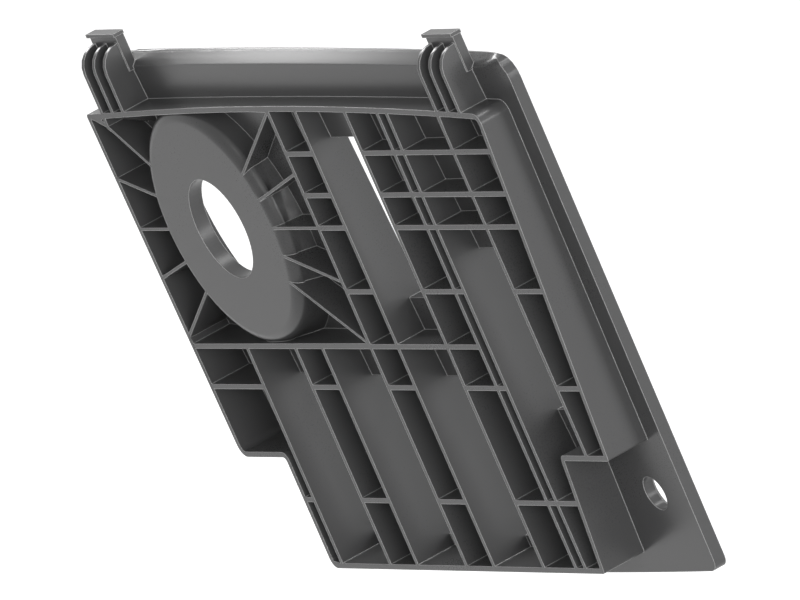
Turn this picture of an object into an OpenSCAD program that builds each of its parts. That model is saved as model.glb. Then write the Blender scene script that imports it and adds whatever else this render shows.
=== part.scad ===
/* [Front skin] */
// Radius of the skin's rib side, across the width
skin_back_radius = 1667; // [1300:10:2600]
// Radius of the show face, across the width
skin_front_radius = 2500; // [1700:10:3400]
// Middle of the skin across the width
skin_mid_x = -53; // [-60:1:-46]
// Depth from the rib plane to the skin, at its middle beside the control hole
skin_depth = 5.7; // [5:0.1:8]
// Thickness of the skin at its middle
skin_thickness = 3.4; // [3:0.1:4.5]
// Lean of the skin, top towards the ribs
skin_tilt = 2.5; // [0:0.1:3.5]
// Right-hand edge of the skin, level with the control hole
skin_high_x = 38.4; // [38:0.1:44]
// Left-hand edge of the skin, level with the control hole
skin_low_x = -141.3; // [-146:0.1:-139]
// Slope of the left-hand edge, sideways for each unit of height
skin_low_slope = 0.11; // [0.09:0.005:0.12]
// Bottom edge of the skin
skin_bottom_z = -81.6; // [-86:0.1:-79.5]
// Corner radius of the skin at the top, seen from the front
skin_top_corner = 4.5; // [2:0.1:6]
// Corner radius of the skin at the bottom
skin_low_corner = 2.7; // [1:0.1:4]
// Round of the top lip on the rib side
lip_back_round = 2.2; // [1:0.1:2.3]
// Round of the top lip on the show side
lip_front_round = 0.9; // [0.3:0.1:0.9]

/* [Frame] */
// Outer wall thickness
wall = 1.2; // [0.9:0.05:1.6]
// Height of the frame's crowned top at the middle of the skin
crown_z = 27.2; // [26:0.1:28]
// Radius of the crown
crown_radius = 2170; // [1600:10:4000]
// Lean of the crown, right-hand end up
crown_roll = 0.48; // [0:0.02:0.6]
// Height of the top lip over the frame
lip_height = 9.3; // [8.8:0.1:10]
// Outer face of the right-hand wall, level with the control hole
frame_high_x = 35.4; // [34.6:0.1:36]
// Slope of the right-hand wall, sideways for each unit of height
frame_high_slope = 0.042; // [0:0.005:0.05]
// Outer face of the left-hand wall, level with the control hole
frame_low_x = -136; // [-137:0.1:-135.5]
// Slope of the left-hand wall
frame_low_slope = 0.117; // [0.08:0.005:0.13]
// Outer face of the bottom wall
frame_bottom_z = -77; // [-78:0.1:-76.4]
// Outer face of the wall over both lower cut-outs
notch_z = -51.8; // [-53:0.1:-51]
// Lower right wall at the cut-out's height
notch_high_x = 17.2; // [16:0.1:19]
// Slope of the lower right wall
notch_high_slope = 0.126; // [0.08:0.005:0.15]
// Lower left wall at the cut-out's height
notch_low_x = -110.2; // [-111:0.1:-109]
// Slope of the lower left wall
notch_low_slope = 0.158; // [0.1:0.005:0.18]
// Corner radii at the top of the frame: right, left
top_corners = [0.8, 2.4]; // [0.2:0.1:3]
// Corner radii around the left cut-out: outer, inner, lower
low_corners = [0.6, 0.5, 0.6]; // [0.2:0.1:2]
// Corner radii around the right cut-out: outer, inner, lower
high_corners = [2.8, 1.2, 2.6]; // [0.2:0.1:3]

/* [Ribs] */
// Rib thickness
rib = 1.1; // [0.8:0.05:1.4]
// Top edges of the two short rib rows over the control hole's level
upper_rows_z = [17.1, 7.8]; // [5:0.1:20]
// Top edge of the rib row level with the control hole
control_row_z = 0.55; // [0:0.05:1]
// Top edge of the short rib row under the control hole's level
middle_row_z = -13.7; // [-18:0.1:-10]
// Top edge of the long rib over the lower switches
long_row_z = -26; // [-27:0.1:-25.6]
// Top edges of the two lower short rib rows
lower_rows_z = [-35.2, -60.8]; // [-64:0.1:-30]
// Left face of the single rib beside the narrow channel
channel_rib_x = -94.9; // [-96:0.1:-90]

/* [Switch openings] */
// Width of a switch opening and of its cell
switch_w = 21.3; // [20:0.1:21.6]
// Length of a switch opening
switch_l = 36.6; // [34:0.1:37]
// Left side of the right-hand lower switch
switch_x = -9.7; // [-10.5:0.1:-9]
// Spacing of the three lower switches
switch_pitch = 34.85; // [34:0.05:35.5]
// Left side of the far left switch
end_switch_x = -120.4; // [-121:0.1:-119.8]
// Lower ends of the openings: lower row, upper switch, far left switch
switch_ends_z = [-73.2, -18.7, -44.4]; // [-75:0.1:-17]

/* [Control recess] */
// Bore for the rotary control
control_d = 22.2; // [16:0.1:30]
// Radius of the flat disc around the bore
disc_r = 24.4; // [20:0.1:24.6]
// Thickness of the disc
disc_t = 3.3; // [2.6:0.1:4]
// Round from the disc to the flank
disc_round = 1.6; // [0.8:0.1:2.5]
// Angle of the flank from the bore's axis
flank_angle = 20; // [12:1:22]
// Wall of the flank
flank_wall = 2.6; // [1.6:0.1:3]
// Number of ribs on each side of the recess
spokes = 5; // [1:2:5]
// Angles between neighbouring ribs: right side, left side
spoke_steps = [18, 15]; // [10:1:20]

/* [Hooks] */
// Middle of the right-hand hook across the width, and its top
high_hook = [26.9, 42]; // [25:0.1:43]
// Middle of the left-hand hook across the width, and its top
low_hook = [-126.3, 40.4]; // [-127:0.1:41]
// Height of a hook's tongue
tongue_h = 8.6; // [7:0.1:9]
// Width of the tongue
tongue_w = 12; // [11.6:0.1:14]
// Thickness of the tongue
tongue_t = 2; // [1.6:0.1:3]
// Depth from the rib plane to the tongue
tongue_depth = 4.8; // [4:0.1:5.2]
// Height of the bead along the tongue's top
bead_h = 0.8; // [0.4:0.1:1.2]
// Thickness that the bead adds on its rib side and on each end
bead_t = 0.5; // [0.2:0.1:0.8]
// Fins on a hook
fins = 3; // [2:1:3]
// Spacing of the fins
fin_pitch = 5.05; // [4:0.05:5.2]
// Radius of the fins' bent back
fin_bend = 4.8; // [3:0.1:4.8]
// Drop from the tongue's top to the fins
fin_drop = 1.4; // [1:0.1:2.4]

/* [Fixing hole] */
// Bore for the fixing screw
fixing_d = 7.5; // [4:0.1:9]
// Place of the fixing hole, sideways from the control hole
fixing_x = -122.3; // [-125:0.1:-120]
// Height of the fixing hole, from the control hole
fixing_z = -63.8; // [-68:0.1:-60]
// Lead-in on the show side
fixing_chamfer = 0.7; // [0.3:0.1:1]

/* [Hidden] */
$fn = 96;
// Deeper than the deepest point of the show face
reach = 30;
// How far cutting shapes pass the faces that they cut
pass = 2;
// How far joined shapes run into each other
bite = 0.3;
// Steps in each rounded edge, rounded corner and crowned top
round_steps = 5;
corner_steps = 5;
crown_steps = 12;
// Part of a full turn that covers the panel's width
sector = 9;

deck_x = [for (i = [0:2]) switch_x - i * switch_pitch];
upper_switch_x = deck_x[2];
lip_z = crown_z + lip_height;

// Depth of the skin's rib side under the rib plane
function back_depth(x, z) =
    skin_depth + pow(x - skin_mid_x, 2) / (2 * skin_back_radius) - tan(skin_tilt) * z;
function front_depth(x, z) =
    skin_depth + skin_thickness + pow(x - skin_mid_x, 2) / (2 * skin_front_radius) - tan(skin_tilt) * z;

// Height of the frame's crowned top
function crown(x) =
    let (mid = skin_mid_x + crown_radius * sin(crown_roll), low = crown_z - crown_radius * cos(crown_roll))
    low + sqrt(pow(crown_radius, 2) - pow(x - mid, 2));

// Places on the slanted side walls
function frame_high(z) = frame_high_x + frame_high_slope * z;
function frame_low(z) = frame_low_x - frame_low_slope * z;
function skin_high(z) = skin_high_x + frame_high_slope * z;
function skin_low(z) = skin_low_x - skin_low_slope * z;
function lower_high(z) = notch_high_x + notch_high_slope * (z - notch_z);
function lower_low(z) = notch_low_x - notch_low_slope * (z - notch_z);

function unit(v) = v / norm(v);
function turn(a, b) = a[0] * b[1] - a[1] * b[0];
function at(list, i) = list[(i + len(list)) % len(list)];
function flat_point(p) = [p[0], p[1]];

// Arc that rounds the corner at b between a and c
function corner_arc(a, b, c, r) =
    let (u = unit(a - b), v = unit(c - b), half = acos(u * v) / 2,
         centre = b + unit(u + v) * r / sin(half),
         from = b + u * r / tan(half) - centre,
         sweep = (turn(u, v) > 0 ? -1 : 1) * (180 - 2 * half),
         start = atan2(from[1], from[0]))
    [for (i = [0:corner_steps])
        centre + r * [cos(start + sweep * i / corner_steps), sin(start + sweep * i / corner_steps)]];

// Outline with a radius as each point's third value
function round_corners(points) =
    [for (i = [0:len(points) - 1])
        let (b = points[i], a = flat_point(at(points, i - 1)), c = flat_point(at(points, i + 1)))
        each b[2] > 0 ? corner_arc(a, flat_point(b), c, b[2]) : [flat_point(b)]];

// The same outline moved inwards by t; its points run anticlockwise
function inset(points, t) =
    [for (i = [0:len(points) - 1])
        let (a = flat_point(at(points, i - 1)), b = flat_point(points[i]), c = flat_point(at(points, i + 1)),
             e = unit(b - a), f = unit(c - b), m = [-e[1], e[0]], n = [-f[1], f[0]],
             p = b + (m + n) * t / (1 + m * n), r = points[i][2])
        [p[0], p[1], r <= 0 ? 0 : turn(e, f) > 0 ? max(r - t, t / 4) : r + t]];

frame_top = [frame_high(crown_z), frame_low(crown_z)];
frame_points = concat(
    [[frame_top[0], crown(frame_top[0]), top_corners[0]]],
    [for (i = [1:crown_steps - 1])
        let (x = frame_top[0] + (frame_top[1] - frame_top[0]) * i / crown_steps) [x, crown(x), 0]],
    [[frame_top[1], crown(frame_top[1]), top_corners[1]],
     [frame_low(notch_z), notch_z, low_corners[0]],
     [notch_low_x, notch_z, low_corners[1]],
     [lower_low(frame_bottom_z), frame_bottom_z, low_corners[2]],
     [lower_high(frame_bottom_z), frame_bottom_z, high_corners[2]],
     [notch_high_x, notch_z, high_corners[1]],
     [frame_high(notch_z), notch_z, high_corners[0]]]);

// The skin's outline: sides, bottom and all four corners, open over the lip between the top corners
function skin_outline(high, low, r) =
    let (a = high[0] - 2 * r, b = low[0] + 2 * r)
    [[high[0], high[1], r], [a, high[1], 0], [a, high[1] + lip_height, 0], [b, high[1] + lip_height, 0],
     [b, low[1], 0], [low[0], low[1], r],
     [skin_low(skin_bottom_z), skin_bottom_z, skin_low_corner],
     [skin_high(skin_bottom_z), skin_bottom_z, skin_low_corner]];
skin_points = skin_outline(
    [skin_high(lip_z), crown(skin_high(lip_z)) + lip_height],
    [skin_low(lip_z), crown(skin_low(lip_z)) + lip_height], skin_top_corner);

// Extrudes a plan in x and z from the rib plane towards the show face
module down(depth) {
    rotate([90, 0, 0]) linear_extrude(depth) children();
}

// Sweeps a section, drawn as [-depth, height over the lip], along the bow and the crown together
module swept(bow_radius) {
    lean = atan2(1 / crown_radius, 1 / bow_radius);
    radius = 1 / norm([1 / bow_radius, 1 / crown_radius]);
    translate([skin_mid_x, 0, lip_z]) rotate([0, -crown_roll, 0])
        rotate([lean, 0, 0]) translate([0, -radius, 0]) rotate([0, 0, 90 - sector / 2])
            rotate_extrude(angle = sector) translate([radius, 0]) rotate(-lean) children();
}

// Section of the skin's rib side with its rounded top lip
function skin_section() =
    let (r = lip_back_round, low = skin_bottom_z - lip_z - pass,
         top = back_depth(skin_mid_x, lip_z - r), foot = back_depth(skin_mid_x, low + lip_z))
    concat(
        [[-reach, low], [-foot, low]],
        [for (i = [0:round_steps])
            let (a = 90 * i / round_steps) [-top - r * (1 - cos(a)), -r * (1 - sin(a))]],
        [[-reach, 0]]);

// Section of what is cut away in front of the show face, with the round of the lip's front
function front_section() =
    let (r = lip_front_round, low = skin_bottom_z - lip_z - 2 * pass, past = reach + pass,
         top = front_depth(skin_mid_x, lip_z - r), foot = front_depth(skin_mid_x, low + lip_z))
    concat(
        [[-past, low], [-foot, low]],
        [for (i = [0:round_steps - 1])
            let (a = 90 * i / round_steps) [-top + r * (1 - cos(a)), -r * (1 - sin(a))]],
        [[-top + r, 2 * pass], [-past, 2 * pass]]);

module skin() {
    intersection() {
        down(reach - pass) polygon(round_corners(skin_points));
        swept(skin_back_radius) polygon(skin_section());
    }
}

module front_cut() {
    swept(skin_front_radius) polygon(front_section());
}

// Upright rib whose left face lies at x
module upright(x, from, to) {
    translate([x, from]) square([rib, to - from]);
}

// Level rib whose top edge lies at z
module level(z, from, to) {
    translate([from, z - rib]) square([to - from, rib]);
}

module rib_rows() {
    left = frame_low_x - wall - pass * 2;
    right = frame_high_x + pass * 2;
    inner = [upper_switch_x + switch_w, deck_x[1]];
    channel = end_switch_x + switch_w;
    for (z = concat(upper_rows_z, [control_row_z])) {
        level(z, inner[0], inner[1]);
        level(z, left, upper_switch_x);
    }
    for (z = concat([middle_row_z], lower_rows_z)) level(z, inner[0], inner[1]);
    for (z = [middle_row_z, lower_rows_z[0]]) {
        level(z, channel, upper_switch_x);
        level(z, left, end_switch_x);
    }
    for (z = lower_rows_z) {
        level(z, deck_x[0] + switch_w, right);
        level(z, deck_x[1] + switch_w, deck_x[0]);
    }
    level(lower_rows_z[1], left, upper_switch_x);
    level(long_row_z, channel_rib_x, right);
}

module rib_columns() {
    low = frame_bottom_z;
    high = crown_z + pass;
    for (i = [0, 1]) upright(deck_x[i] + switch_w, low, long_row_z);
    upright(deck_x[0] - rib, low, long_row_z);
    upright(deck_x[1] - rib, low, high);
    for (x = [upper_switch_x - rib, upper_switch_x + switch_w]) upright(x, low, high);
    upright(channel_rib_x, low, high);
    upright(end_switch_x + switch_w, low, high);
    upright(end_switch_x - rib, notch_z, high);
}

// Ribs that run from the recess to the walls around it
module rib_spokes() {
    side = (spokes - 1) / 2;
    intersection() {
        for (s = [0, 1], i = [-side:side])
            rotate(180 * s + i * spoke_steps[s]) translate([disc_r, -rib / 2]) square([3 * disc_r, rib]);
        translate([deck_x[1] - rib, long_row_z - rib])
            square([frame_high_x + 2 * pass - deck_x[1], crown_z + 2 * pass - long_row_z]);
    }
}

module frame() {
    down(reach - pass) {
        difference() {
            polygon(round_corners(frame_points));
            polygon(round_corners(inset(frame_points, wall)));
        }
        intersection() {
            polygon(round_corners(frame_points));
            union() {
                rib_rows();
                rib_columns();
                rib_spokes();
            }
        }
    }
}

// Radius of the recess's flank at a depth
function flank_r(depth) =
    disc_r + disc_round * cos(flank_angle) + (depth - disc_round * (1 - sin(flank_angle))) * tan(flank_angle);

// Half section of the recess, as [radius, depth], down to a given depth
function recess_section(depth) = concat(
    [[0, depth], [0, 0]],
    [for (i = [0:round_steps])
        let (a = (90 - flank_angle) * i / round_steps)
        [disc_r + disc_round * sin(a), disc_round * (1 - cos(a))]],
    [[flank_r(depth), depth]]);

// Turned solid whose section is given as [radius, depth] around the control hole
module turned(points) {
    rotate([90, 0, 0]) rotate_extrude() polygon(points);
}

module recess() {
    intersection() {
        turned(recess_section(reach - pass));
        down(reach) intersection() {
            polygon(round_corners(frame_points));
            translate([skin_mid_x, long_row_z - rib]) square([2 * reach - skin_mid_x, crown_z + reach]);
        }
    }
}

module recess_hollow() {
    side = flank_wall / cos(flank_angle);
    turned([[0, disc_t], [flank_r(disc_t) - side, disc_t], [flank_r(reach + pass) - side, reach + pass],
            [0, reach + pass]]);
}

// Tongue with its bead, as a plan in depth and height under the top of the hook
module tongue() {
    far = tongue_depth + tongue_t;
    translate([-tongue_w / 2, -far, -tongue_h]) cube([tongue_w, tongue_t, tongue_h]);
    translate([-tongue_w / 2 - bead_t, -far, -bead_h]) cube([tongue_w + 2 * bead_t, tongue_t + bead_t, bead_h]);
}

// Fin under a hook whose top lies at z
module fin(z) {
    top = z - fin_drop;
    foot = crown_z - wall - fin_bend;
    under = tongue_depth + bite;
    deep = tongue_depth + tongue_t;
    rotate([90, 0, 90]) linear_extrude(rib)
        polygon(concat(
            [[-deep, foot], [0, foot]],
            [for (i = [0:corner_steps])
                let (a = 90 * i / corner_steps)
                [-fin_bend * (1 - cos(a)), top - fin_bend * (1 - sin(a))]],
            [[-under, top], [-under, z - tongue_h + bite], [-deep, z - tongue_h + bite]]));
}

module hook(place) {
    translate([place[0], 0, place[1]]) tongue();
    for (i = [0:fins - 1])
        translate([place[0] + (i - (fins - 1) / 2) * fin_pitch - rib / 2, 0, 0]) fin(place[1]);
}

module switch_opening(x, z) {
    translate([x, -reach - pass, z]) cube([switch_w, reach + 2 * pass, switch_l]);
}

module switch_openings() {
    for (x = deck_x) switch_opening(x, switch_ends_z[0]);
    switch_opening(upper_switch_x, switch_ends_z[1]);
    switch_opening(end_switch_x, switch_ends_z[2]);
}

module control_bore() {
    translate([0, pass, 0]) rotate([90, 0, 0]) cylinder(d = control_d, h = reach);
}

module fixing_bore() {
    face = front_depth(fixing_x, fixing_z);
    translate([fixing_x, 0, fixing_z]) rotate([90, 0, 0]) {
        cylinder(d = fixing_d, h = reach);
        translate([0, 0, face - fixing_chamfer])
            cylinder(r1 = fixing_d / 2, r2 = fixing_d / 2 + fixing_chamfer + pass, h = fixing_chamfer + pass);
    }
}

// One moulding, drawn from the control hole and placed with the middle of the fixing bore at the origin
module panel() {
    ends = [back_depth(fixing_x, fixing_z), front_depth(fixing_x, fixing_z) - fixing_chamfer];
    color([0.22, 0.22, 0.23])
    translate([-fixing_x, (ends[0] + ends[1]) / 2, -fixing_z])
    difference() {
        union() {
            skin();
            frame();
            recess();
            hook(high_hook);
            hook(low_hook);
        }
        front_cut();
        recess_hollow();
        switch_openings();
        control_bore();
        fixing_bore();
    }
}

panel();
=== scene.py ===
"""A moulded switch panel, seen from its ribbed side, in a pale studio."""
import math

import bmesh
import bpy
from mathutils import Matrix, Vector


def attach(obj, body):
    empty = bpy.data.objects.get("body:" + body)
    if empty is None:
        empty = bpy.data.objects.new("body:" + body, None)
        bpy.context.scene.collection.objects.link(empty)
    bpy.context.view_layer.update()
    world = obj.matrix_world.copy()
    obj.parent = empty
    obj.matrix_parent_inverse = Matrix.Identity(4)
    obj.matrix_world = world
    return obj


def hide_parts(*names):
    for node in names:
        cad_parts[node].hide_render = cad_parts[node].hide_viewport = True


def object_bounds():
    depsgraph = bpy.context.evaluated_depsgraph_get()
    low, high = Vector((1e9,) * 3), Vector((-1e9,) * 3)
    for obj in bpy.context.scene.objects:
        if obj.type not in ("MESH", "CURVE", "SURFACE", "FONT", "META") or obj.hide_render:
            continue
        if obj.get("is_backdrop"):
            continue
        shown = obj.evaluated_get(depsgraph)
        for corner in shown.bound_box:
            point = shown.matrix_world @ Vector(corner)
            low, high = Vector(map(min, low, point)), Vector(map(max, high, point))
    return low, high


bl_info = {
    "name": "Moulded Switch Panel",
    "version": (1, 0, 0),
    "blender": (4, 5, 0),
    "location": "3D View > Sidebar > Switch Panel",
    "description": "Dresses a moulded switch panel and sets up its studio",
    "category": "Object",
}

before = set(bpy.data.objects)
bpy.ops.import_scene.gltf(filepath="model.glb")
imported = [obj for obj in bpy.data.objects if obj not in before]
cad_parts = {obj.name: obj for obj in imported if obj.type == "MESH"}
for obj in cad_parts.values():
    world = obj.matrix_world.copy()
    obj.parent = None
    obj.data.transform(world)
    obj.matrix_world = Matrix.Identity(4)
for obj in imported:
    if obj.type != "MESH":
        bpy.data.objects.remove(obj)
CAD_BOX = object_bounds()
MM = 0.001
# The middle of the control hole, in millimetres
HOLE_X = 122.3
HOLE = Vector((HOLE_X, 11.036, 63.8))
# The visual's furthest point towards the recess from that hole, just inside the solid's box
BOX_CLEARANCE = 0.005
HIGH_X = CAD_BOX[1].x / MM - HOLE_X - BOX_CLEARANCE

BLACK = (0.0, 0.0, 0.0, 1.0)
WHITE = (1.0, 1.0, 1.0, 1.0)

# The photograph's view: the picture's own right and up, and the point at its middle
VIEW_RIGHT = Vector((-0.44169, -0.80608, -0.39389)).normalized()
VIEW_UP = Vector((-0.00026, -0.43892, 0.89852)).normalized()
VIEW_AIM = Vector((0.07051, 0.00385, 0.04422))

# Strength of the surround's own light
SURROUND = 0.14

# Softboxes: name, place from the panel's middle, width, height and power
LAMPS = (
    ("key_softbox", (-1.1, 1.4, 0.6), 0.8, 0.8, 5.4),
    ("side_softbox", (-1.8, 0.4, 0.2), 0.6, 0.6, 9.5),
    ("edge_softbox", (1.8, -0.22, 0.86), 0.4, 0.4, 6.5),
    ("top_softbox", (-0.38, -0.8, 1.75), 0.6, 0.4, 9.0),
    ("front_softbox", (-0.32, 1.32, 1.48), 0.18, 0.18, 1.2),
    ("back_softbox", (-1.6, -0.85, 0.15), 0.6, 0.6, 10.0),
)


# ---------------------------------------------------------------- settings

class PanelSizes(bpy.types.PropertyGroup):
    wall_x: bpy.props.FloatProperty(
        name="Recess side wall",
        description="Outer face of the wall beside the recess, from the control hole",
        default=0.03866, min=0.0355, max=0.0392, precision=5, subtype="DISTANCE", unit="LENGTH")
    lower_wall_x: bpy.props.FloatProperty(
        name="Lower wall",
        description="Outer face of the lower wall under the recess, from the control hole",
        default=0.01684, min=0.016, max=0.018, precision=5, subtype="DISTANCE", unit="LENGTH")
    crest_z: bpy.props.FloatProperty(
        name="Crest",
        description="Height of the lip's crest at the middle of the skin, from the control hole",
        default=0.03671, min=0.036, max=0.0375, precision=5, subtype="DISTANCE", unit="LENGTH")
    crease_z: bpy.props.FloatProperty(
        name="Crease",
        description="Height of the lip's crease on the rib side at the middle of the skin",
        default=0.03454, min=0.0335, max=0.0355, precision=5, subtype="DISTANCE", unit="LENGTH")
    disc_radius: bpy.props.FloatProperty(
        name="Disc radius", description="Radius of the flat disc around the control hole",
        default=0.0238, min=0.022, max=0.0244, precision=5, subtype="DISTANCE", unit="LENGTH")
    disc_round: bpy.props.FloatProperty(
        name="Disc round", description="Radius of the round from the disc to its flank",
        default=0.003, min=0.0016, max=0.0035, precision=5, subtype="DISTANCE", unit="LENGTH")
    fin_drop: bpy.props.FloatProperty(
        name="Fin drop", description="From the top of a hook down to its fins",
        default=0.0022, min=0.0014, max=0.0026, precision=5, subtype="DISTANCE", unit="LENGTH")
    spoke_width: bpy.props.FloatProperty(
        name="Spoke width", description="Thickness of the ribs that run out from the control recess",
        default=0.00065, min=0.0004, max=0.0011, precision=5, subtype="DISTANCE", unit="LENGTH")
    edge_round: bpy.props.FloatProperty(
        name="Edge round", description="Radius of the moulded edges and inner corners",
        default=0.0003, min=0.00005, max=0.001, precision=5, subtype="DISTANCE", unit="LENGTH")
    grain_size: bpy.props.FloatProperty(
        name="Grain size", description="Size of the spark-eroded grain of the mould",
        default=0.0003, min=0.0001, max=0.002, precision=5, subtype="DISTANCE", unit="LENGTH")
    floor_drop: bpy.props.FloatProperty(
        name="Floor drop", description="How far the floor lies under the panel",
        default=0.25, min=0.0, max=2.0, subtype="DISTANCE", unit="LENGTH")
    floor_size: bpy.props.FloatProperty(
        name="Floor size", description="Side of the floor",
        default=40.0, min=1.0, max=60.0, subtype="DISTANCE", unit="LENGTH")
    lens: bpy.props.FloatProperty(
        name="Lens", description="Focal length of the camera, in millimetres",
        default=1100.0, min=50.0, max=1150.0)
    distance: bpy.props.FloatProperty(
        name="Camera distance", description="From the camera to the panel",
        default=4.9205, min=0.5, max=10.0, subtype="DISTANCE", unit="LENGTH")


class PanelColours(bpy.types.PropertyGroup):
    plastic: bpy.props.FloatVectorProperty(
        name="Plastic", description="Colour of the moulded plastic",
        default=(0.1, 0.1, 0.101), min=0.0, max=1.0, size=3, subtype="COLOR")
    # Painted highlight: a pale colour put on edges and inner corners in place of the highlights of
    # the moulded fillets
    edge: bpy.props.FloatVectorProperty(
        name="Edge", description="Colour of the smooth moulded edges and corners",
        default=(0.7, 0.7, 0.7), min=0.0, max=1.0, size=3, subtype="COLOR")
    floor: bpy.props.FloatVectorProperty(
        name="Floor", description="Colour of the floor and the backdrop",
        default=(0.62, 0.62, 0.62), min=0.0, max=1.0, size=3, subtype="COLOR")


# ---------------------------------------------------------------- materials

class Shade:
    """A socket of a material on which plain arithmetic works."""

    def __init__(self, maker, socket):
        self.maker = maker
        self.socket = socket

    def maths(self, operation, first, second):
        return self.maker.node("ShaderNodeMath", {"operation": operation}, {0: first, 1: second})

    def __add__(self, other):
        return self.maths("ADD", self, other)

    def __radd__(self, other):
        return self.maths("ADD", other, self)

    def __sub__(self, other):
        return self.maths("SUBTRACT", self, other)

    def __rsub__(self, other):
        return self.maths("SUBTRACT", other, self)

    def __mul__(self, other):
        return self.maths("MULTIPLY", self, other)

    def __rmul__(self, other):
        return self.maths("MULTIPLY", other, self)


class Finish:
    """A material whose nodes are made one by one and joined by their sockets."""

    def __init__(self, name, world=None):
        self.material = world or bpy.data.materials.new(name)
        self.material.use_nodes = True
        self.tree = self.material.node_tree
        self.tree.nodes.clear()

    def node(self, kind, settings=None, sockets=None, output=0):
        made = self.tree.nodes.new(kind)
        for key, value in (settings or {}).items():
            setattr(made, key, value)
        for key, value in (sockets or {}).items():
            if isinstance(value, Shade):
                self.tree.links.new(value.socket, made.inputs[key])
            else:
                made.inputs[key].default_value = value
        return Shade(self, made.outputs[output]) if made.outputs else None

    def place(self):
        return self.node("ShaderNodeTexCoord", output=3)

    def noise(self, scale, detail=2.0, roughness=0.5):
        return self.node("ShaderNodeTexNoise", None, {
            "Vector": self.place(), "Scale": scale, "Detail": detail, "Roughness": roughness})

    def blend(self, amount, first, second):
        return self.node("ShaderNodeMix", {"data_type": "RGBA"},
                         {"Factor": amount, 6: first, 7: second}, output=2)

    def close(self, surface):
        self.node("ShaderNodeOutputMaterial", None, {"Surface": surface})
        return self.material


def rgba(colour, gain=1.0):
    return tuple(min(1.0, c * gain) for c in colour) + (1.0,)


# How quickly the painted highlight, a pale colour on edges and inner corners, sets in where an edge
# turns
PAINTED_HIGHLIGHT_GAIN = 5.0


def moulded_plastic(sizes, colours):
    """Dark grey, slightly glossy plastic with a fine grain and faint flow marks, and a painted
    highlight: a pale colour along its edges and inner corners.
    """
    make = Finish("moulded_plastic")
    grain = make.noise(1.0 / sizes.grain_size, 2.0, 0.55)
    flow = make.noise(28.0, 3.0, 0.5)
    rounded = make.node("ShaderNodeBevel", {"samples": 12}, {"Radius": sizes.edge_round})
    flat = make.node("ShaderNodeNewGeometry", output="Normal")
    # How far the rounded normal turns from the flat one, which is nought away from the edges: the
    # mask of the painted highlight
    turned = make.node("ShaderNodeVectorMath", {"operation": "DOT_PRODUCT"},
                       {0: rounded, 1: flat}, output=1)
    edge = make.node("ShaderNodeMath", {"operation": "MULTIPLY", "use_clamp": True},
                     {0: 1.0 - turned, 1: PAINTED_HIGHLIGHT_GAIN})
    body = make.blend(0.6 * flow + 0.4 * grain,
                      rgba(colours.plastic, 0.96), rgba(colours.plastic, 1.04))
    # Painted highlight: the pale edge colour stands in for the highlights of the rounded edges and
    # inner corners
    colour = make.blend(edge, body, rgba(colours.edge))
    wave = make.node("ShaderNodeBump", None,
                     {"Strength": 0.05, "Distance": 0.0003, "Height": flow, "Normal": rounded})
    bump = make.node("ShaderNodeBump", None,
                     {"Strength": 0.06, "Distance": 0.00003, "Height": grain, "Normal": wave})
    surface = make.node("ShaderNodeBsdfPrincipled", None, {
        "Base Color": colour, "Roughness": 0.25 + 0.03 * flow + 0.03 * grain,
        "IOR": 1.46, "Specular IOR Level": 0.3, "Normal": bump})
    return make.close(surface)


def shown_directly(make):
    """One where a ray comes from the camera, a reflection or through glass, otherwise nought."""
    rays = [make.node("ShaderNodeLightPath", output=name)
            for name in ("Is Camera Ray", "Is Glossy Ray", "Is Transmission Ray")]
    seen = rays[0]
    for ray in rays[1:]:
        seen = make.node("ShaderNodeMath", {"operation": "MAXIMUM"}, {0: seen, 1: ray})
    return seen


def studio_floor(colours):
    """Pale matt floor that shows white, keeps the panel's shadow and is clear from below."""
    make = Finish("studio_floor")
    glow = make.blend(shown_directly(make), BLACK, WHITE)
    lit = make.node("ShaderNodeBsdfPrincipled", None, {
        "Base Color": rgba(colours.floor), "Roughness": 0.9, "Specular IOR Level": 0.1,
        "Emission Color": glow, "Emission Strength": 1.0})
    clear = make.node("ShaderNodeBsdfTransparent")
    below = make.node("ShaderNodeNewGeometry", output="Backfacing")
    surface = make.node("ShaderNodeMixShader", None, {0: below, 1: lit, 2: clear})
    return make.close(surface)


def studio_world(world):
    """White where it is seen or mirrored, a soft pale light everywhere else."""
    make = Finish("studio_world", world)
    soft = make.node("ShaderNodeBackground", None, {"Color": WHITE, "Strength": SURROUND})
    white = make.node("ShaderNodeBackground", None, {"Color": WHITE, "Strength": 1.0})
    mixed = make.node("ShaderNodeMixShader", None, {0: shown_directly(make), 1: soft, 2: white})
    make.node("ShaderNodeOutputWorld", None, {"Surface": mixed})


# ---------------------------------------------------------------- pieces

# The solids as they stand, in millimetres from the middle of the control hole:
# x across towards the recess, depth from the rib plane towards the show face, z up

# The skin: its middle and the depth there, the bows of its two sides, its lean in
# degrees, its thickness and its edge on either hand
SKIN_MIDDLE, SKIN_DEPTH = -53.0, 5.7
RIB_SIDE_BOW, SHOW_FACE_BOW = 1667.0, 2500.0
SKIN_LEAN, SKIN = 2.5, 3.4
SOLID_EDGE = 38.4
SKIN_LOW_X, SKIN_LOW_SLOPE = -141.3, 0.11

# Crowned lines: height at the skin's middle, lean in degrees and radius. The lip's crest
# and crease take their height from the sizes
FRAME_CROWN = (27.2, 0.48, 2170.0)
SKIN_CROWN = (36.5, 0.48, 2170.0)
CREST = (0.672, 2858.0)
CREASE = (0.589, 2166.0)

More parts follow.
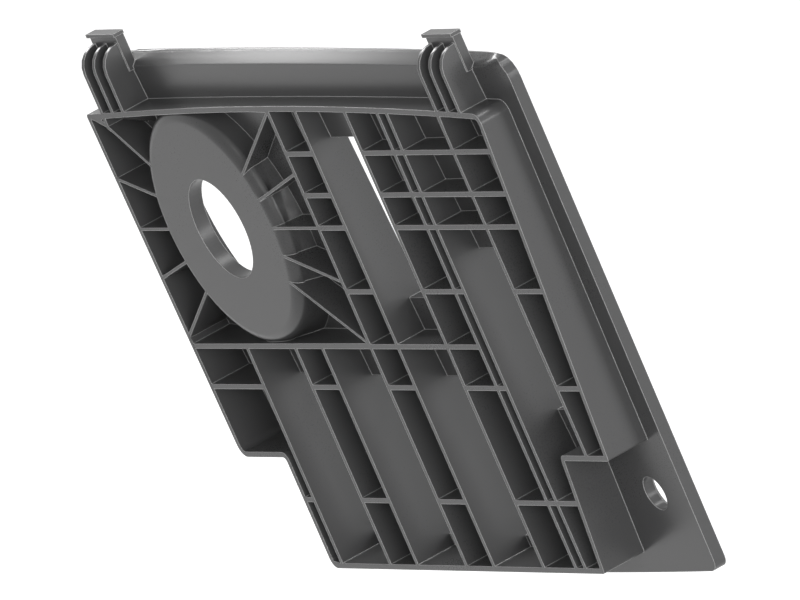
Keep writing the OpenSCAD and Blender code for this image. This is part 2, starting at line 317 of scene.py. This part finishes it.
# The frame's walls: thickness, the place and slope of each, the change of slope, and
# the lengths that their rounded corners take up
WALL = 1.2
SOLID_WALL, SOLID_WALL_SLOPE, WALL_TURN = 35.4, 0.042, 0.008
SOLID_LOWER, SOLID_LOWER_SLOPE, LOWER_TURN = 17.2, 0.126, 0.129
NOTCH_Z, BOTTOM_Z = -51.8, -77.0
WALL_LOW_CORNER, WALL_TOP_CORNER = 2.9, 1.5
LOWER_LOW_CORNER, LOWER_CORNER, NOTCH_CORNER = 2.8, 1.4, 1.5
LOWER_CORNER_TOP, UPRIGHT_FOOT_TOP = 2.7, 2.5
EDGE_PAST_WALL = 0.19
UPRIGHT_X = 12.7
# Corners of a wall that lie deeper than this are its foot on the skin
FOOT_DEPTH = 3.0

# The lip: its height, and how far from the skin's ends its slant sets in
LIP_HEIGHT = 2.3
LIP_START, LIP_EASE = 2.0, 6.0

# The disc and its round: where the arc starts and ends in radians, and the degrees that it
# spans in the solid and in the visual
SOLID_DISC, SOLID_DISC_ROUND = 24.4, 1.6
ARC_START, ARC_END = -0.002, 1.23
SOLID_DISC_TURN, DISC_TURN = 70.0, 73.0

# The hooks, each with its middle and top, and their fins
HOOKS = ((26.9, 42.0), (-126.3, 40.4))
HOOK_HALF = 6.6
SOLID_FIN_DROP, FIN_BEND, FIN_DEPTH = 1.4, 4.8, 5.3
SOLID_FIN_FOOT, FIN_FOOT_DEPTH = 21.2, 6.0
RIB_HALF, FIN_PITCH = 0.55, 5.05
FIN_SUNK = 0.04

# The ribs round the recess: their turns in degrees and where they run
SPOKES = tuple(18.0 * i for i in range(-2, 3)) + tuple(180.0 + 15.0 * i for i in range(-2, 3))
OUTER_SPOKE = 36.0
SPOKE_START = 20.0
RECESS_LOW_X, RECESS_LOW_Z = -44.55, -26.0

# How near to a face of the solid a vertex counts as lying on it
TOUCHING, ON_SPOKE, ON_ARC, NEAR, CLOSE = 0.02, 0.025, 0.03, 0.05, 0.1
OFF_SKIN, OFF_WALL, OFF_CROWN, PAST_SKIN = 0.15, 0.2, 0.3, 0.4

# Vertices of the CAD mesh this near to each other are one, in metres
MERGE = 1e-6
# Faces that meet at less than this many degrees are one curved surface
SHARP_ANGLE = 24.0


def clamp(value):
    return min(1.0, max(0.0, value))


def skin_depth(x, z, skin=0.0):
    """Depth of the skin's rib side, or with its thickness that of its show face."""
    bow = SHOW_FACE_BOW if skin else RIB_SIDE_BOW
    lean = math.tan(math.radians(SKIN_LEAN)) * z
    return SKIN_DEPTH + skin + (x - SKIN_MIDDLE) ** 2 / (2 * bow) - lean


def arched(x, middle, lean, radius):
    """Height of a crowned line that leans."""
    along = x - SKIN_MIDDLE
    return middle + math.tan(math.radians(lean)) * along - along ** 2 / (2 * radius)


def kept_on_skin(x, moved, depth, z):
    """Depth of a wall's vertex after the wall has moved, with its foot still on the skin."""
    return depth + (skin_depth(moved, z) - skin_depth(x, z) if depth > FOOT_DEPTH else 0.0)


def fit_wall(x, depth, z, sizes):
    """The wall beside the recess, with its corners and the skin's edge beyond it."""
    across = x - SOLID_WALL_SLOPE * z
    corner = WALL_LOW_CORNER if z < NOTCH_Z + WALL_LOW_CORNER else WALL_TOP_CORNER
    in_frame = (NOTCH_Z - CLOSE < z < arched(x, *FRAME_CROWN) + OFF_CROWN
                and depth < skin_depth(x, z) + PAST_SKIN)
    if in_frame and SOLID_WALL - corner < across < SOLID_WALL + OFF_WALL:
        moved = x + sizes.wall_x / MM - SOLID_WALL - WALL_TURN * z
        return moved, kept_on_skin(x, moved, depth, z), z
    if across > SOLID_EDGE - NEAR:
        edge = x + sizes.wall_x / MM + EDGE_PAST_WALL - SOLID_EDGE - WALL_TURN * z
        return min(edge, HIGH_X), depth, z
    return x, depth, z


def fit_lower_wall(x, depth, z, sizes):
    """The lower wall under the recess, with its corners."""
    if not BOTTOM_Z - CLOSE < z < NOTCH_Z + WALL + CLOSE or depth > skin_depth(x, z) + PAST_SKIN:
        return x, depth, z
    if x < UPRIGHT_X + TOUCHING and z > BOTTOM_Z + WALL / 2:
        foot = abs(x - UPRIGHT_X) < TOUCHING and z < BOTTOM_Z + UPRIGHT_FOOT_TOP
        return x, depth, BOTTOM_Z + WALL if foot else z
    across = x - SOLID_LOWER - SOLID_LOWER_SLOPE * (z - NOTCH_Z)
    reach = LOWER_LOW_CORNER if z < BOTTOM_Z + LOWER_CORNER_TOP else LOWER_CORNER
    limit = NOTCH_CORNER if z > NOTCH_Z - LOWER_CORNER else OFF_WALL
    if not -reach < across < limit:
        return x, depth, z
    moved = x + sizes.lower_wall_x / MM - SOLID_LOWER - LOWER_TURN * (z - NOTCH_Z)
    return moved, kept_on_skin(x, moved, depth, z), z


def fit_lip(x, depth, z, sizes):
    """The lip's top, one slanted face from the crest down to the crease."""
    top = arched(x, *SKIN_CROWN)
    if z < top - LIP_HEIGHT or z > top + CLOSE or depth < skin_depth(x, z) - OFF_SKIN:
        return x, depth, z
    back, front = skin_depth(x, z), skin_depth(x, z, SKIN)
    share = clamp((depth - back) / (front - back))
    crest = arched(x, sizes.crest_z / MM, *CREST)
    crease = arched(x, sizes.crease_z / MM, *CREASE)
    ends = min(HIGH_X - x, x - SKIN_LOW_X + SKIN_LOW_SLOPE * z)
    ease = clamp((ends - LIP_START) / LIP_EASE)
    ease = ease * ease * (3.0 - 2.0 * ease)
    return x, depth, z + ease * (crease + (crest - crease) * share - z)


def fit_disc(x, depth, z, sizes):
    """The round between the flat disc and its flank."""
    radius = math.hypot(x, z)
    turn = math.atan2(radius - SOLID_DISC, SOLID_DISC_ROUND - depth)
    on_arc = math.hypot(radius - SOLID_DISC, SOLID_DISC_ROUND - depth)
    if abs(on_arc - SOLID_DISC_ROUND) > ON_ARC or not ARC_START <= turn < ARC_END:
        return x, depth, z
    turn *= DISC_TURN / SOLID_DISC_TURN
    wide = sizes.disc_radius / MM + sizes.disc_round / MM * math.sin(turn)
    return x * wide / radius, sizes.disc_round / MM * (1 - math.cos(turn)), z * wide / radius


def fit_fins(x, depth, z, sizes):
    """The bent backs of the fins under a hook."""
    for middle, top in HOOKS:
        start = top - SOLID_FIN_DROP
        bent = start - FIN_BEND - NEAR < z < start + NEAR
        if abs(x - middle) < HOOK_HALF and bent and depth < FIN_DEPTH:
            return x, depth, z + SOLID_FIN_DROP - sizes.fin_drop / MM
    return x, depth, z


def fit_fin_feet(x, depth, z, sizes):
    """The feet of the fins, which end in the frame's top wall or on the rib that crosses them."""
    for middle, top in HOOKS:
        for fin in (-1, 0, 1):
            edge = abs(x - middle - fin * FIN_PITCH) - RIB_HALF
            if abs(edge) > TOUCHING or abs(z - SOLID_FIN_FOOT) > NEAR:
                continue
            wall = arched(x, *FRAME_CROWN) - WALL + FIN_SUNK
            turn = math.radians(OUTER_SPOKE)
            spoke = math.tan(turn) * x - RIB_HALF / math.cos(turn) + TOUCHING
            foot = min(wall, spoke) if spoke > z else wall
            return x, skin_depth(x, foot) if depth > FIN_FOOT_DEPTH else depth, foot
    return x, depth, z


def fit_spokes(x, depth, z, sizes):
    """The thin ribs that run out from the control recess."""
    if x < RECESS_LOW_X - CLOSE or z < RECESS_LOW_Z - CLOSE:
        return x, depth, z
    for degrees in SPOKES:
        run, rise = math.cos(math.radians(degrees)), math.sin(math.radians(degrees))
        across = z * run - x * rise
        if x * run + z * rise < SPOKE_START or abs(abs(across) - RIB_HALF) > ON_SPOKE:
            continue
        shift = math.copysign(sizes.spoke_width / MM / 2, across) - across
        return x - shift * rise, depth, z + shift * run
    return x, depth, z


FITS = (fit_spokes, fit_wall, fit_lower_wall, fit_lip, fit_disc, fit_fins, fit_fin_feet)


def smooth_curves(shape):
    """Shades curved faces as one surface and keeps the sharp edges sharp."""
    for face in shape.faces:
        face.smooth = True
    for edge in shape.edges:
        edge.smooth = edge.calc_face_angle(0.0) < math.radians(SHARP_ANGLE)


def panel_moulding(sizes):
    """A merged copy of the solid with its measured walls, lip, disc, fins and ribs."""
    shape = bmesh.new()
    shape.from_mesh(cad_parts["panel"].data)
    bmesh.ops.remove_doubles(shape, verts=shape.verts, dist=MERGE)
    for vert in shape.verts:
        x, depth, z = vert.co.x / MM - HOLE.x, HOLE.y - vert.co.y / MM, vert.co.z / MM - HOLE.z
        for fit in FITS:
            x, depth, z = fit(x, depth, z, sizes)
        vert.co = Vector((x + HOLE.x, HOLE.y - depth, z + HOLE.z)) * MM
    smooth_curves(shape)
    mesh = bpy.data.meshes.new("panel_moulding")
    shape.to_mesh(mesh)
    shape.free()
    # The solid's own normals no longer hold once its vertices have moved
    kept = mesh.attributes.get("custom_normal")
    if kept:
        mesh.attributes.remove(kept)
    moulding = bpy.data.objects.new("panel_moulding", mesh)
    bpy.context.scene.collection.objects.link(moulding)
    weighted = moulding.modifiers.new("weighted_normals", "WEIGHTED_NORMAL")
    weighted.mode, weighted.weight, weighted.keep_sharp = "FACE_AREA", 50, True
    return moulding


class OBJECT_OT_dress_panel(bpy.types.Operator):
    """Makes the panel's finished moulding and gives it its plastic"""
    bl_idname = "object.dress_switch_panel"
    bl_label = "Dress Panel"

    def execute(self, context):
        scene = context.scene
        material = moulded_plastic(scene.panel_sizes, scene.panel_colours)
        moulding = panel_moulding(scene.panel_sizes)
        moulding.data.materials.append(material)
        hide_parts("panel")
        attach(moulding, "root")
        return {"FINISHED"}


class OBJECT_OT_set_studio(bpy.types.Operator):
    """Sets up the floor, the soft lamps, the world and the camera"""
    bl_idname = "object.set_panel_studio"
    bl_label = "Set Studio"

    def execute(self, context):
        scene = context.scene
        sizes, colours = scene.panel_sizes, scene.panel_colours
        low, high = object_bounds()
        middle = (low + high) / 2
        self.make_floor(sizes, colours, middle, low.z)
        self.make_world()
        self.make_lamps(middle)
        self.make_camera(sizes)
        scene.view_settings.view_transform = "Standard"
        return {"FINISHED"}

    def make_floor(self, sizes, colours, middle, bottom):
        mesh = bpy.data.meshes.new("studio_floor")
        shape = bmesh.new()
        bmesh.ops.create_grid(shape, x_segments=1, y_segments=1, size=sizes.floor_size / 2)
        bmesh.ops.translate(shape, verts=shape.verts,
                            vec=(middle.x, middle.y, bottom - sizes.floor_drop))
        shape.to_mesh(mesh)
        shape.free()
        floor = bpy.data.objects.new("studio_floor", mesh)
        bpy.context.scene.collection.objects.link(floor)
        mesh.materials.append(studio_floor(colours))
        floor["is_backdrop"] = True

    def make_world(self):
        world = bpy.data.worlds.new("studio_world")
        bpy.context.scene.world = world
        studio_world(world)

    def make_lamps(self, middle):
        for name, place, width, height, power in LAMPS:
            light = bpy.data.lights.new(name, "AREA")
            light.shape = "RECTANGLE"
            light.size, light.size_y = width, height
            light.energy = power
            lamp = bpy.data.objects.new(name, light)
            bpy.context.scene.collection.objects.link(lamp)
            lamp.location = middle + Vector(place)
            lamp.rotation_mode = "QUATERNION"
            lamp.rotation_quaternion = (middle - lamp.location).to_track_quat("-Z", "Y")

    def make_camera(self, sizes):
        data = bpy.data.cameras.new("photo_camera")
        camera = bpy.data.objects.new("photo_camera", data)
        bpy.context.scene.collection.objects.link(camera)
        data.lens, data.sensor_width = sizes.lens, 36.0
        data.clip_start, data.clip_end = 0.05, 100.0
        right, up, back = VIEW_RIGHT, VIEW_UP, VIEW_RIGHT.cross(VIEW_UP)
        turn = Matrix((right, up, back)).transposed()
        camera.rotation_mode = "QUATERNION"
        camera.rotation_quaternion = turn.to_quaternion()
        camera.location = VIEW_AIM + back.normalized() * sizes.distance
        bpy.context.scene.camera = camera


# ---------------------------------------------------------------- add-on

class VIEW3D_PT_switch_panel(bpy.types.Panel):
    """Lists the steps that make the switch panel"""
    bl_label = "Switch Panel"
    bl_idname = "VIEW3D_PT_switch_panel"
    bl_space_type = "VIEW_3D"
    bl_region_type = "UI"
    bl_category = "Switch Panel"

    def draw(self, context):
        for group in (context.scene.panel_sizes, context.scene.panel_colours):
            for name in group.__annotations__:
                self.layout.prop(group, name)
        for step in STEPS:
            self.layout.operator(step.bl_idname)


STEPS = (OBJECT_OT_dress_panel, OBJECT_OT_set_studio)
CLASSES = (PanelSizes, PanelColours, VIEW3D_PT_switch_panel) + STEPS


def register():
    for made in CLASSES:
        bpy.utils.register_class(made)
    bpy.types.Scene.panel_sizes = bpy.props.PointerProperty(type=PanelSizes)
    bpy.types.Scene.panel_colours = bpy.props.PointerProperty(type=PanelColours)


def unregister():
    del bpy.types.Scene.panel_colours
    del bpy.types.Scene.panel_sizes
    for made in reversed(CLASSES):
        bpy.utils.unregister_class(made)


def main():
    register()
    bpy.ops.object.dress_switch_panel()
    bpy.ops.object.set_panel_studio()


if __name__ == "__main__":
    main()
